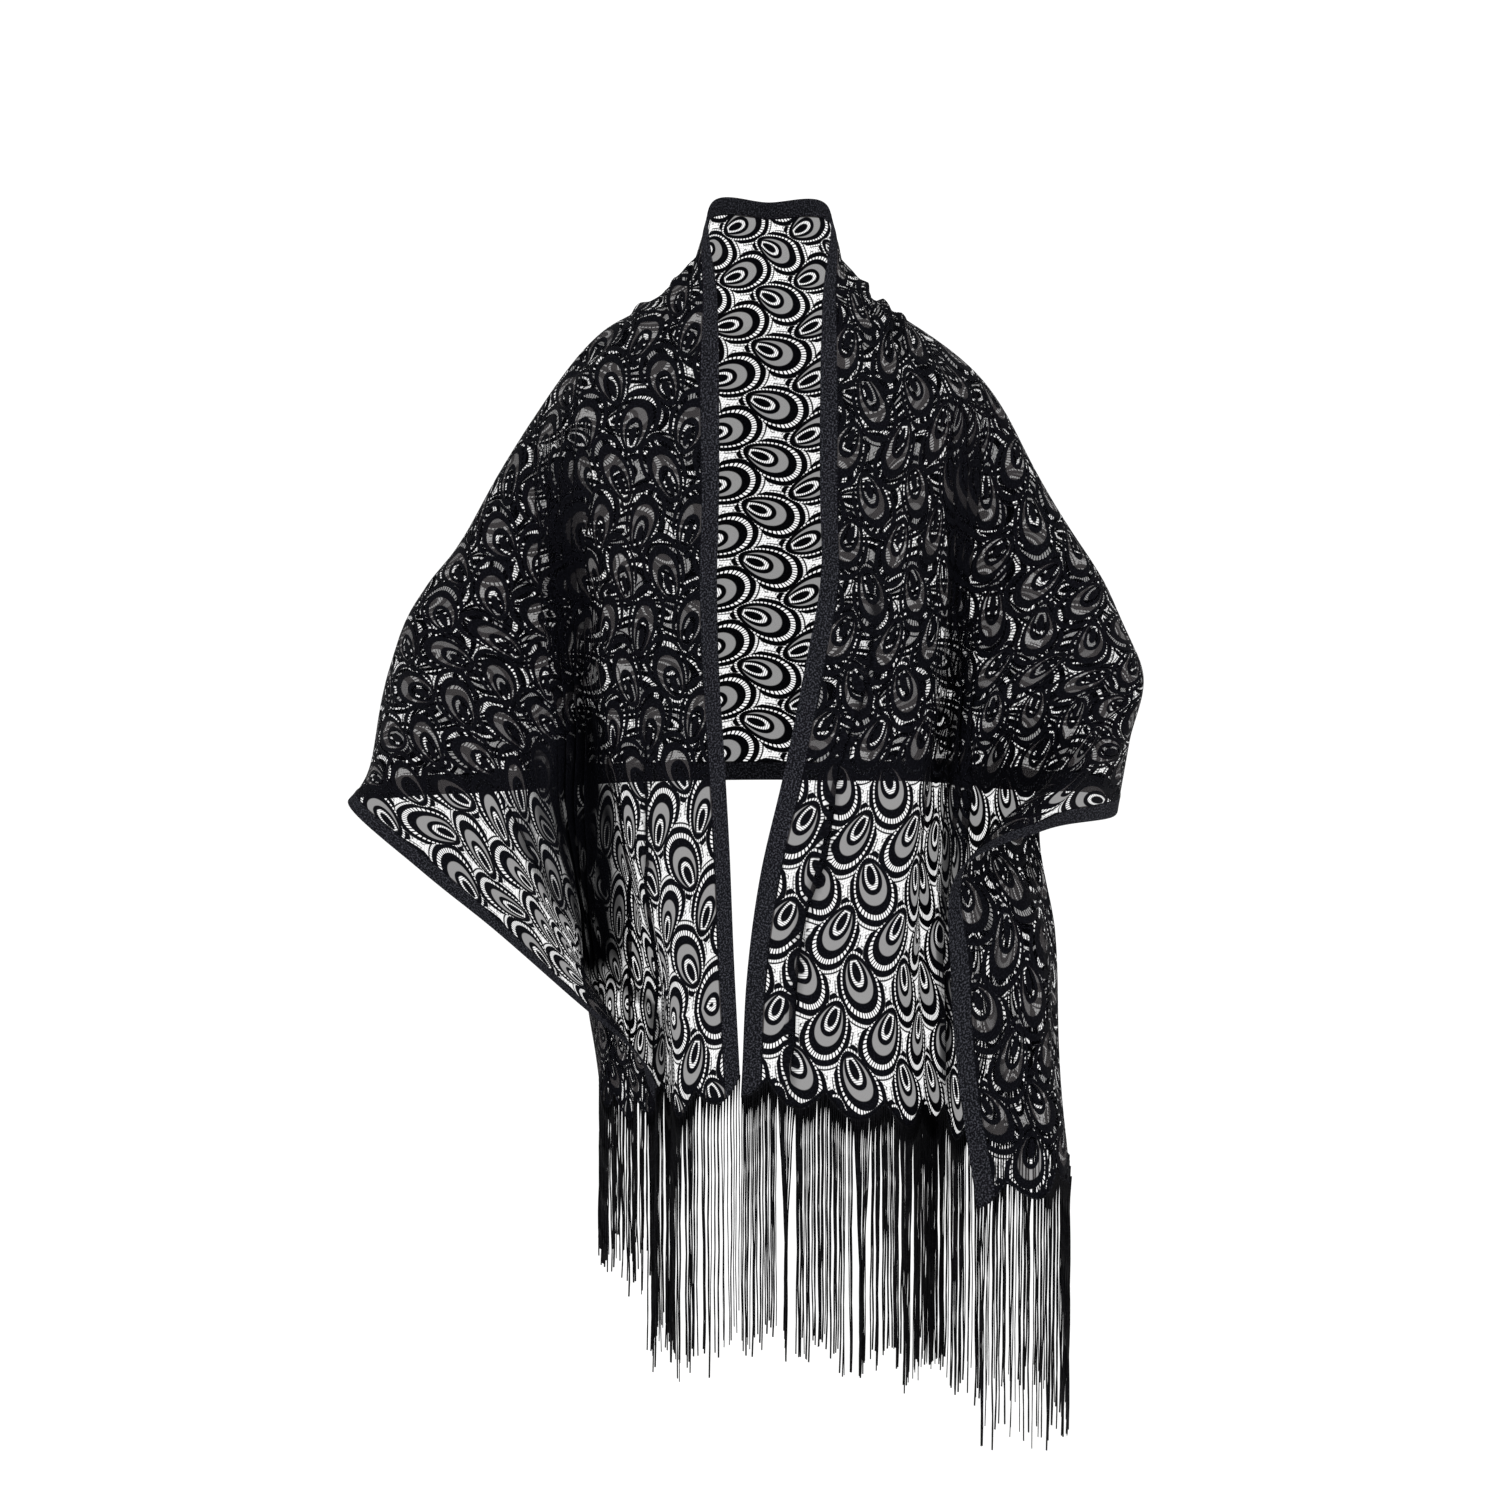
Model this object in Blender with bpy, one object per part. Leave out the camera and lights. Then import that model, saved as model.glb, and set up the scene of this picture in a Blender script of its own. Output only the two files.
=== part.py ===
"""Lace shawl with fringed ends, worn open over the shoulders.

One knitted cloth about 1.94 m long and 0.60 m wide, with a plain edge band on each long side and
fringe on both ends.  The cloth is kept in the hollow form that it has when it is worn.
"""
import math

import bpy
import numpy as np

for old in list(bpy.data.objects):
    bpy.data.objects.remove(old, do_unlink=True)

# Driving sizes, in metres.
HALF_LENGTH = 0.970
WIDTH = 0.600
BAND = 0.018
GAP = 0.0003
WALL = 0.0012
PANEL_END = 0.300
SCALLOP_PITCH = WIDTH / 11
SCALLOP_DEPTH = 0.022
SCALLOP_REACH = 0.075
RUN_STEPS = 24
BACK_STEPS = 26
BACKING = 0.002
SEAM = 0.0007
STRAND_PITCH = 0.0085
STRAND_WIDTH = 0.0016
FRINGE = 0.250
SHORT_FROM = 0.31
SHORT_TO = 0.93
SHORT_SHARE = 0.69
MM = 0.001

# Sections across the cloth, from the left end round the back to the right end.  The first number is
# the place along the cloth in mm from the centre of the back.  Each point is x, y, z in mm, and the
# columns are COLUMN_AT mm from the neck edge, measured on the cloth.
COLUMNS = ("neck", "chest", "lip", "valley", "arm", "over", "fall", "low", "hem")
COLUMN_AT = (0, 75, 150, 225, 300, 375, 450, 525, 600)
SECTIONS = (
    (-970, (-28, -146, -749), (-86, -148, -772), (-101, -98, -771), (-130, -47, -765), (-158, 2, -766),
     (-168, -43, -767), (-165, -86, -770), (-137, -106, -783), (-110, -131, -765)),
    (-850, (-34, -140, -630), (-92, -149, -651), (-107, -97, -659), (-136, -44, -662), (-162, 4, -678),
     (-182, -44, -683), (-172, -86, -693), (-150, -116, -704), (-130, -139, -731)),
    (-750, (-38, -134, -530), (-97, -149, -550), (-132, -103, -561), (-146, -35, -560), (-178, -42, -592),
     (-188, -90, -598), (-196, -118, -618), (-192, -124, -648), (-196, -114, -678)),
    (-660, (-43, -128, -440), (-104, -143, -460), (-149, -99, -468), (-158, -32, -475), (-192, -66, -506),
     (-214, -108, -512), (-235, -120, -542), (-245, -110, -582), (-270, -86, -618)),
    (-570, (-48, -122, -358), (-112, -134, -372), (-163, -91, -379), (-174, -25, -391), (-200, -66, -418),
     (-244, -92, -424), (-285, -96, -462), (-312, -82, -512), (-344, -54, -564)),
    (-480, (-50, -120, -272), (-118, -134, -277), (-164, -83, -282), (-184, -23, -303), (-234, -48, -341),
     (-300, -73, -353), (-350, -58, -402), (-379, -48, -466), (-419, -14, -503)),
    (-390, (-48, -113, -185), (-117, -120, -185), (-176, -79, -191), (-223, -37, -224), (-284, -40, -267),
     (-348, -20, -302), (-376, 14, -362), (-388, 34, -434), (-379, 53, -506)),
    (-300, (-48, -95, -97), (-124, -87, -98), (-192, -63, -102), (-242, -21, -140), (-281, 14, -198),
     (-303, 45, -267), (-309, 66, -344), (-306, 71, -424), (-295, 75, -504)),
    (-200, (-50, -49, 2), (-108, -40, -14), (-164, 7, -33), (-196, 49, -97), (-201, 67, -178),
     (-207, 74, -259), (-209, 82, -339), (-207, 91, -420), (-199, 100, -500)),
    (-100, (-57, 3, 92), (-68, 24, 26), (-86, 70, -32), (-102, 80, -108), (-105, 93, -184),
     (-110, 101, -262), (-111, 108, -341), (-109, 113, -420), (-102, 119, -498)),
    (0, (0, 64, 93), (4, 92, 25), (1, 107, -47), (-4, 103, -120), (-6, 110, -195),
     (-10, 113, -270), (-12, 120, -346), (-10, 127, -422), (-5, 130, -498)),
    (100, (59, -1, 90), (73, 20, 22), (89, 79, -31), (94, 86, -108), (93, 96, -184),
     (90, 106, -261), (88, 112, -340), (88, 119, -419), (90, 123, -498)),
    (200, (53, -48, 2), (104, -58, -16), (126, 0, -14), (179, 47, -69), (182, 67, -155),
     (183, 75, -241), (182, 86, -326), (181, 94, -411), (180, 99, -497)),
    (300, (50, -95, -99), (120, -102, -106), (177, -66, -84), (230, -27, -110), (261, 17, -169),
     (276, 44, -246), (273, 53, -330), (269, 61, -415), (264, 68, -501)),
    (390, (50, -115, -190), (118, -127, -193), (171, -83, -179), (219, -40, -204), (286, -39, -238),
     (335, -2, -282), (353, 31, -350), (349, 42, -427), (337, 51, -503)),
    (470, (51, -120, -262), (119, -134, -273), (168, -85, -264), (194, -26, -282), (247, -52, -312),
     (318, -61, -327), (370, -40, -369), (359, -26, -440), (347, -13, -514)),
    (570, (34, -123, -360), (106, -131, -374), (164, -88, -373), (176, -24, -386), (204, -72, -402),
     (258, -66, -398), (308, -84, -412), (304, -114, -458), (270, -116, -514)),
    (670, (15, -130, -455), (88, -135, -472), (152, -103, -476), (160, -38, -484), (190, -66, -502),
     (234, -14, -498), (272, -28, -520), (224, -80, -522), (184, -142, -553)),
    (770, (-8, -138, -555), (67, -140, -570), (138, -115, -577), (157, -52, -586), (197, -80, -610),
     (248, -34, -604), (286, -72, -626), (250, -140, -622), (178, -152, -655)),
    (870, (-21, -142, -653), (54, -142, -669), (126, -124, -681), (161, -67, -690), (206, -107, -709),
     (245, -56, -711), (289, -95, -732), (255, -154, -744), (186, -157, -758)),
    (970, (-26, -143, -753), (51, -144, -769), (129, -132, -785), (168, -71, -794), (198, -119, -808),
     (245, -75, -816), (295, -97, -837), (276, -157, -848), (201, -160, -860)),
)

# Soft folds that lie on the sections: start and end on the cloth as (along, across) in mm, the half
# width, and how far the cloth stands out (or in, below zero).
FOLD_COLUMNS = ("from_along", "from_across", "to_along", "to_across", "half_width", "depth")
FOLDS = (
    (-110, 150, -150, 640, 40, 9),
    (-215, 190, -250, 640, 42, -9),
    (-330, 340, -345, 640, 38, 9),
    (45, 170, 62, 640, 38, -8),
    (140, 170, 165, 640, 40, 9),
    (255, 210, 262, 640, 38, -9),
    (340, 340, 352, 640, 36, 8),
    (-520, 330, -760, 455, 36, -8),
    (-470, 440, -690, 560, 34, 8),
    (480, 340, 560, 600, 34, -7),
    (-90, 60, -230, 110, 30, 5),
    (95, 62, 240, 105, 30, 5),
    (-420, 60, -960, 45, 34, 4),
    (420, 85, 960, 95, 36, -5),
    (560, 470, 970, 470, 34, 5),
)

# How far each end's scallops are shifted along the edge, in m.
SCALLOP_SHIFT = {-1: -0.0023, 1: 0.025}

row_at = np.array([row[0] for row in SECTIONS]) * MM
column_at = np.array(COLUMN_AT) * MM
section_points = np.array([row[1:] for row in SECTIONS]) * MM


def blend_weights(knots, at):
    """Weights of a smooth curve through the knots, for one place on it."""
    n = len(knots)
    k = int(np.clip(np.searchsorted(knots, at, side="right") - 1, 0, n - 2))
    step = knots[k + 1] - knots[k]
    t = (at - knots[k]) / step
    weights = np.zeros(n)
    weights[k] += 2 * t ** 3 - 3 * t ** 2 + 1
    weights[k + 1] += 3 * t ** 2 - 2 * t ** 3
    for i, slope in ((k, t ** 3 - 2 * t ** 2 + t), (k + 1, t ** 3 - t ** 2)):
        lo = max(i - 1, 0)
        hi = min(i + 1, n - 1)
        if lo == i or hi == i:
            weights[lo] -= slope * step / (knots[hi] - knots[lo])
            weights[hi] += slope * step / (knots[hi] - knots[lo])
            continue
        before = knots[i] - knots[lo]
        after = knots[hi] - knots[i]
        share = after / (before + after)
        weights[lo] -= slope * step * share / before
        weights[i] += slope * step * share / before
        weights[i] -= slope * step * (1 - share) / after
        weights[hi] += slope * step * (1 - share) / after
    return weights


def sheet_point(u, v):
    """A point of the smooth cloth, u along it and v across it, in m."""
    return np.einsum("i,ijk,j->k", blend_weights(row_at, u), section_points, blend_weights(column_at, v))


def sheet_frame(u, v):
    """The cloth's directions at a point: along, across and out."""
    h = 0.002
    along = sheet_point(u + h, v) - sheet_point(u - h, v)
    across = sheet_point(u, v + h) - sheet_point(u, v - h)
    out = np.cross(along, across)
    return along / np.linalg.norm(along), across / np.linalg.norm(across), out / np.linalg.norm(out)


def fold_height(u, v):
    """The sum of the soft folds at a point."""
    total = 0.0
    for u0, v0, u1, v1, half, depth in FOLDS:
        start = np.array((u0, v0)) * MM
        run = np.array((u1, v1)) * MM - start
        length = np.linalg.norm(run)
        rel = np.array((u, v)) - start
        t = float(rel @ run) / length ** 2
        side = abs(run[0] * rel[1] - run[1] * rel[0]) / length
        if side >= half * MM or t <= 0 or t >= 1:
            continue
        ends = min(1.0, 4 * t, 4 * (1 - t))
        ends = ends * ends * (3 - 2 * ends)
        total += depth * MM * ends * 0.5 * (1 + math.cos(math.pi * side / (half * MM)))
    return total


def cloth_point(u, v):
    """A point of the folded cloth."""
    return sheet_point(u, v) + sheet_frame(u, v)[2] * fold_height(u, v)


def cloth_frame(u, v):
    """The folded cloth's directions at a point: along, across and out."""
    h = 0.003
    along = cloth_point(u + h, v) - cloth_point(u - h, v)
    across = cloth_point(u, v + h) - cloth_point(u, v - h)
    out = np.cross(along, across)
    return along / np.linalg.norm(along), across / np.linalg.norm(across), out / np.linalg.norm(out)


def scalloped(u, v):
    """Moves the last rows of an end out to its scallops."""
    side = 1 if u > 0 else -1
    near = (abs(u) - (HALF_LENGTH - SCALLOP_REACH)) / SCALLOP_REACH
    if near <= 0:
        return u
    swell = abs(math.sin(math.pi * (v - SCALLOP_SHIFT[side]) / SCALLOP_PITCH))
    return u + side * near * SCALLOP_DEPTH * swell


def past_end(u, v):
    """A cloth point and its outward direction, carried straight on beyond the last section."""
    inside = max(-HALF_LENGTH + 0.004, min(HALF_LENGTH - 0.004, u))
    along, _, out = cloth_frame(inside, v)
    return cloth_point(inside, v) + along * (u - inside), out


def across_places():
    """The rows of points across the cloth: edge band, lace to the scallop tips and notches, edge band."""
    lace = [BAND + GAP] + [0.025 + k * SCALLOP_PITCH / 2 for k in range(21)] + [WIDTH - BAND - GAP]
    return [0.0, BAND], lace, [WIDTH - BAND, WIDTH]


def grid_of(us, vs):
    """Outer and inner points of a piece of cloth."""
    outer = np.zeros((len(us), len(vs), 3))
    inner = np.zeros((len(us), len(vs), 3))
    for i, u in enumerate(us):
        for j, v in enumerate(vs):
            point, out = past_end(scalloped(u, v), v)
            outer[i, j] = point + out * WALL / 2
            inner[i, j] = point - out * WALL / 2
    return outer, inner


def wall_mesh(outer, inner):
    """A closed wall between an outer and an inner grid of points."""
    n, m = outer.shape[:2]
    verts = [tuple(p) for p in outer.reshape(-1, 3)] + [tuple(p) for p in inner.reshape(-1, 3)]
    shift = n * m
    faces = []

    def outside(i, j):
        return i * m + j

    def inside(i, j):
        return shift + i * m + j

    for i in range(n - 1):
        for j in range(m - 1):
            faces.append((outside(i, j), outside(i + 1, j), outside(i + 1, j + 1), outside(i, j + 1)))
            faces.append((inside(i, j), inside(i, j + 1), inside(i + 1, j + 1), inside(i + 1, j)))
    for i in range(n - 1):
        faces.append((outside(i, 0), inside(i, 0), inside(i + 1, 0), outside(i + 1, 0)))
        faces.append((outside(i, m - 1), outside(i + 1, m - 1), inside(i + 1, m - 1), inside(i, m - 1)))
    for j in range(m - 1):
        faces.append((outside(0, j), outside(0, j + 1), inside(0, j + 1), inside(0, j)))
        faces.append((outside(n - 1, j), inside(n - 1, j), inside(n - 1, j + 1), outside(n - 1, j + 1)))
    return verts, faces


collection = bpy.data.collections.new("lace_shawl")
bpy.context.scene.collection.children.link(collection)


def add_solid(name, verts, faces, color, roughness):
    """A named solid with a material of its own."""
    mesh = bpy.data.meshes.new(name)
    mesh.from_pydata(verts, [], faces)
    mesh.validate()
    material = bpy.data.materials.new(name)
    material.use_nodes = True
    shader = material.node_tree.nodes["Principled BSDF"]
    shader.inputs["Base Color"].default_value = (*color, 1.0)
    shader.inputs["Roughness"].default_value = roughness
    mesh.materials.append(material)
    solid = bpy.data.objects.new(name, mesh)
    collection.objects.link(solid)
    return solid


LACE_COLOR = (0.012, 0.012, 0.016)
BAND_COLOR = (0.006, 0.006, 0.010)
FRINGE_COLOR = (0.010, 0.010, 0.012)

# The three stretches of lace, parted over the front of each arm, and the bands along both edges.
neck_rows, lace_rows, hem_rows = across_places()
left_run = np.linspace(-HALF_LENGTH, -PANEL_END - GAP / 2, RUN_STEPS + 4)
back_run = np.linspace(-PANEL_END + GAP / 2, PANEL_END - GAP / 2, BACK_STEPS)
right_run = np.linspace(PANEL_END + GAP / 2, HALF_LENGTH, RUN_STEPS + 4)
band_run = np.concatenate((left_run, back_run, right_run))

PANELS = (
    ("lace_left", left_run),
    ("lace_back", back_run),
    ("lace_right", right_run),
)
end_chain = {-1: [], 1: []}


def keep_end(side, outer, inner):
    """Keeps a piece's last row of points, which the fringe backing follows."""
    row = 0 if side < 0 else -1
    for j in range(outer.shape[1]):
        end_chain[side].append((outer[row, j], inner[row, j]))


neck_outer, neck_inner = grid_of(band_run, neck_rows)
for side in (-1, 1):
    keep_end(side, neck_outer, neck_inner)
verts, faces = wall_mesh(neck_outer, neck_inner)
add_solid("neck_band", verts, faces, BAND_COLOR, 0.8)

for name, run in PANELS:
    outer, inner = grid_of(run, lace_rows)
    if name == "lace_left":
        keep_end(-1, outer, inner)
    if name == "lace_right":
        keep_end(1, outer, inner)
    verts, faces = wall_mesh(outer, inner)
    add_solid(name, verts, faces, LACE_COLOR, 0.85)

hem_outer, hem_inner = grid_of(band_run, hem_rows)
for side in (-1, 1):
    keep_end(side, hem_outer, hem_inner)
verts, faces = wall_mesh(hem_outer, hem_inner)
add_solid("hem_band", verts, faces, BAND_COLOR, 0.8)


def fringe_mesh(chain, side):
    """A backing strip along an end, with the strands drawn down out of its lower face."""
    outer = np.array([link[0] for link in chain])
    inner = np.array([link[1] for link in chain])
    steps = np.linalg.norm(np.diff(outer, axis=0), axis=1) + np.linalg.norm(np.diff(inner, axis=0), axis=1)
    at = np.concatenate(([0.0], np.cumsum(steps) / 2))

    def on(line, s):
        return np.array([np.interp(s, at, line[:, k]) for k in range(3)])

    marks = [0.0]
    roots = []
    for start, stop in zip(at[:-1], at[1:]):
        strands = int((stop - start) / STRAND_PITCH + 0.5)
        for k in range(strands):
            middle = start + (stop - start) * (k + 0.5) / strands
            roots.append(len(marks))
            marks.append(middle - STRAND_WIDTH / 2)
            marks.append(middle + STRAND_WIDTH / 2)
        marks.append(stop)

    verts = []
    faces = []
    for s in marks:
        for line, drop in ((outer, SEAM), (inner, SEAM), (inner, SEAM + BACKING), (outer, SEAM + BACKING)):
            verts.append(on(line, s) - np.array((0, 0, drop)))
    count = len(marks)

    # The strip runs with the neck edge first.  Its sides face out, in, up and down.
    quads = ((0, 1), (1, 2), (3, 0))
    for i in range(count - 1):
        a = 4 * i
        b = a + 4
        for p, q in quads:
            faces.append((a + p, a + q, b + q, b + p))
        if i not in roots:
            faces.append((a + 2, a + 3, b + 3, b + 2))
    faces.append((0, 3, 2, 1))
    last = 4 * (count - 1)
    faces.append((last, last + 1, last + 2, last + 3))

    for k, i in enumerate(roots):
        ring = [4 * i + 2, 4 * i + 3, 4 * i + 7, 4 * i + 6]
        corners = np.array([verts[index] for index in ring])
        middle = corners.mean(axis=0)
        length = FRINGE * (1 + 0.035 * math.sin(2.1 * k) + 0.02 * math.sin(5.3 * k))
        if side < 0 and SHORT_FROM < marks[i] / marks[-1] < SHORT_TO:
            length *= SHORT_SHARE
        sway = 0.005 * math.sin(0.31 * k + side)
        for share, size, shift in ((0.5, 0.7, 1.0), (1.0, 0.55, 0.4)):
            centre = middle + np.array((sway * shift, 0.3 * sway * shift, -length * share))
            flat = (corners - middle) * size
            flat[:, 2] *= 0.3
            new = []
            for corner in flat:
                new.append(len(verts))
                verts.append(centre + corner)
            for p in range(4):
                q = (p + 1) % 4
                faces.append((ring[p], ring[q], new[q], new[p]))
            ring = new
        faces.append(tuple(ring))
    if side > 0:
        faces = [tuple(reversed(face)) for face in faces]
    return [tuple(p) for p in verts], faces


for side, name in ((-1, "fringe_left"), (1, "fringe_right")):
    verts, faces = fringe_mesh(end_chain[side], side)
    add_solid(name, verts, faces, FRINGE_COLOR, 0.7)
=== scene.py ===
import math

import bpy
import numpy as np
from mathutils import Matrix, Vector


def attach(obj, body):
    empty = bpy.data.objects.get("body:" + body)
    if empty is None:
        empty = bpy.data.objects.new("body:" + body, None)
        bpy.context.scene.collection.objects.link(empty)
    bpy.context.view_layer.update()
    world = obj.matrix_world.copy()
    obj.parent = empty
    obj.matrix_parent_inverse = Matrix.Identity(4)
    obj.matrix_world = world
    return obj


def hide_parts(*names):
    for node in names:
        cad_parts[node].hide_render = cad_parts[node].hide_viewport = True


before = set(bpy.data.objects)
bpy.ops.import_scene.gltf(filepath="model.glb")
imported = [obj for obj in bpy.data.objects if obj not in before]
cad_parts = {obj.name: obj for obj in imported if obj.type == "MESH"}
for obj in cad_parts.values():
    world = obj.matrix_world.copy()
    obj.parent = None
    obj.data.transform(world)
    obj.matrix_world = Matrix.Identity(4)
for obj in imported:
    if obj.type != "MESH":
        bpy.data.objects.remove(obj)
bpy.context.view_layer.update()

print("lace shawl: frame loaded")

# sizes in metres; along runs from the viewer's left end to the right end, across from neck edge to hem
shawl = {
    "halfLength": 0.970,
    "width": 0.600,
    "band": 0.018,
    "scallopPitch": 0.600 / 11,
    "scallopDepth": 0.022,
    "scallopReach": 0.075,
    "scallopShift": {-1: -0.0023, 1: 0.025},
    "meshStep": 0.0055,
}

columnTable = (0, 75, 150, 225, 300, 375, 450, 525, 600)  # mm across the cloth
sectionTable = (
    (-970, (-28, -146, -749), (-86, -148, -772), (-101, -98, -771), (-130, -47, -765), (-158, 2, -766),
     (-168, -43, -767), (-165, -86, -770), (-137, -106, -783), (-110, -131, -765)),
    (-850, (-34, -140, -630), (-92, -149, -651), (-107, -97, -659), (-136, -44, -662), (-162, 4, -678),
     (-182, -44, -683), (-172, -86, -693), (-150, -116, -704), (-130, -139, -731)),
    (-750, (-38, -134, -530), (-97, -149, -550), (-132, -103, -561), (-146, -35, -560), (-178, -42, -592),
     (-188, -90, -598), (-196, -118, -618), (-192, -124, -648), (-196, -114, -678)),
    (-660, (-43, -128, -440), (-104, -143, -460), (-149, -99, -468), (-158, -32, -475), (-192, -66, -506),
     (-214, -108, -512), (-235, -120, -542), (-245, -110, -582), (-270, -86, -618)),
    (-570, (-48, -122, -358), (-112, -134, -372), (-163, -91, -379), (-174, -25, -391), (-200, -66, -418),
     (-244, -92, -424), (-285, -96, -462), (-312, -82, -512), (-344, -54, -564)),
    (-480, (-50, -120, -272), (-118, -134, -277), (-164, -83, -282), (-184, -23, -303), (-234, -48, -341),
     (-300, -73, -353), (-350, -58, -402), (-379, -48, -466), (-419, -14, -503)),
    (-390, (-48, -113, -185), (-117, -120, -185), (-176, -79, -191), (-223, -37, -224), (-284, -40, -267),
     (-348, -20, -302), (-376, 14, -362), (-388, 34, -434), (-379, 53, -506)),
    (-300, (-48, -95, -97), (-124, -87, -98), (-192, -63, -102), (-242, -21, -140), (-281, 14, -198),
     (-303, 45, -267), (-309, 66, -344), (-306, 71, -424), (-295, 75, -504)),
    (-200, (-50, -49, 2), (-108, -40, -14), (-164, 7, -33), (-196, 49, -97), (-201, 67, -178),
     (-207, 74, -259), (-209, 82, -339), (-207, 91, -420), (-199, 100, -500)),
    (-100, (-57, 3, 92), (-68, 24, 26), (-86, 70, -32), (-102, 80, -108), (-105, 93, -184),
     (-110, 101, -262), (-111, 108, -341), (-109, 113, -420), (-102, 119, -498)),
    (0, (0, 64, 93), (4, 92, 25), (1, 107, -47), (-4, 103, -120), (-6, 110, -195),
     (-10, 113, -270), (-12, 120, -346), (-10, 127, -422), (-5, 130, -498)),
    (100, (59, -1, 90), (73, 20, 22), (89, 79, -31), (94, 86, -108), (93, 96, -184),
     (90, 106, -261), (88, 112, -340), (88, 119, -419), (90, 123, -498)),
    (200, (53, -48, 2), (104, -58, -16), (126, 0, -14), (179, 47, -69), (182, 67, -155),
     (183, 75, -241), (182, 86, -326), (181, 94, -411), (180, 99, -497)),
    (300, (50, -95, -99), (120, -102, -106), (177, -66, -84), (230, -27, -110), (261, 17, -169),
     (276, 44, -246), (273, 53, -330), (269, 61, -415), (264, 68, -501)),
    (390, (50, -115, -190), (118, -127, -193), (171, -83, -179), (219, -40, -204), (286, -39, -238),
     (335, -2, -282), (353, 31, -350), (349, 42, -427), (337, 51, -503)),
    (470, (51, -120, -262), (119, -134, -273), (168, -85, -264), (194, -26, -282), (247, -52, -312),
     (318, -61, -327), (370, -40, -369), (359, -26, -440), (347, -13, -514)),
    (570, (34, -123, -360), (106, -131, -374), (164, -88, -373), (176, -24, -386), (204, -72, -402),
     (258, -66, -398), (308, -84, -412), (304, -114, -458), (270, -116, -514)),
    (670, (15, -130, -455), (88, -135, -472), (152, -103, -476), (160, -38, -484), (190, -66, -502),
     (234, -14, -498), (272, -28, -520), (224, -80, -522), (184, -142, -553)),
    (770, (-8, -138, -555), (67, -140, -570), (138, -115, -577), (157, -52, -586), (197, -80, -610),
     (248, -34, -604), (286, -72, -626), (250, -140, -622), (178, -152, -655)),
    (870, (-21, -142, -653), (54, -142, -669), (126, -124, -681), (161, -67, -690), (206, -107, -709),
     (245, -56, -711), (289, -95, -732), (255, -154, -744), (186, -157, -758)),
    (970, (-26, -143, -753), (51, -144, -769), (129, -132, -785), (168, -71, -794), (198, -119, -808),
     (245, -75, -816), (295, -97, -837), (276, -157, -848), (201, -160, -860)),
)

# the largest folds: from along, from across, to along, to across, half width, depth; all in mm
foldTable = (
    (-110, 150, -150, 640, 40, 9),
    (-215, 190, -250, 640, 42, -9),
    (-330, 340, -345, 640, 38, 9),
    (45, 170, 62, 640, 38, -8),
    (140, 170, 165, 640, 40, 9),
    (255, 210, 262, 640, 38, -9),
    (340, 340, 352, 640, 36, 8),
    (-520, 330, -760, 455, 36, -8),
    (-470, 440, -690, 560, 34, 8),
    (480, 340, 560, 600, 34, -7),
    (-90, 60, -230, 110, 30, 5),
    (95, 62, 240, 105, 30, 5),
    (-420, 60, -960, 45, 34, 4),
    (420, 85, 960, 95, 36, -5),
    (560, 470, 970, 470, 34, 5),
)

# smaller creases, with the same columns
creaseTable = (
    (140, 74, 205, 40, 15, 6.5),
    (168, 116, 230, 82, 15, 8.0),
    (204, 148, 256, 116, 14, 6.0),
    (156, 94, 216, 62, 9, -5.5),
    (190, 132, 244, 98, 9, -5.5),
    (-140, 72, -205, 42, 13, 4.5),
    (-166, 112, -228, 84, 13, 5.0),
    (-156, 92, -214, 64, 9, -5.0),
    (-60, 32, -215, 66, 15, -4.5),
    (60, 32, 212, 66, 15, -4.5),
    (-225, 120, -262, 175, 16, -4.0),
    (232, 96, 262, 150, 16, -4.0),
    (-560, 120, -965, 105, 16, 2.4),
    (-600, 190, -960, 205, 14, -2.2),
    (-470, 330, -640, 480, 18, 3.0),
    (-500, 300, -700, 400, 14, -2.4),
    (-440, 380, -600, 575, 20, -3.0),
    (-400, 300, -560, 420, 16, 2.6),
    (-360, 250, -470, 330, 18, -2.6),
    (-330, 120, -600, 150, 22, 2.4),
    (-250, 40, -420, 95, 20, 2.2),
    (-200, 90, -330, 230, 26, -2.6),
    (-140, 40, -260, 60, 18, -2.4),
    (-60, 20, -170, 75, 16, 2.2),
    (60, 22, 180, 70, 16, 2.2),
    (110, 30, 250, 52, 18, -2.6),
    (190, 90, 340, 220, 26, -2.8),
    (250, 40, 430, 90, 20, 2.4),
    (330, 230, 470, 330, 20, 3.0),
    (380, 300, 520, 400, 16, -2.8),
    (430, 330, 600, 470, 16, 3.0),
    (450, 420, 600, 560, 18, -2.8),
    (480, 500, 640, 590, 16, 2.4),
    (560, 200, 965, 215, 16, -2.6),
    (600, 290, 965, 300, 14, 2.4),
    (640, 400, 965, 395, 14, -2.4),
    (700, 520, 965, 525, 16, 2.6),
    (-170, 230, -185, 600, 20, 3.0),
    (-60, 250, -50, 600, 24, -3.0),
    (5, 300, 0, 600, 20, 2.6),
    (100, 260, 110, 600, 22, -2.8),
    (205, 250, 215, 600, 20, 2.8),
    (-40, 90, 45, 95, 18, 2.2),
    (-70, 60, 70, 55, 12, -1.6),
)

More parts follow.
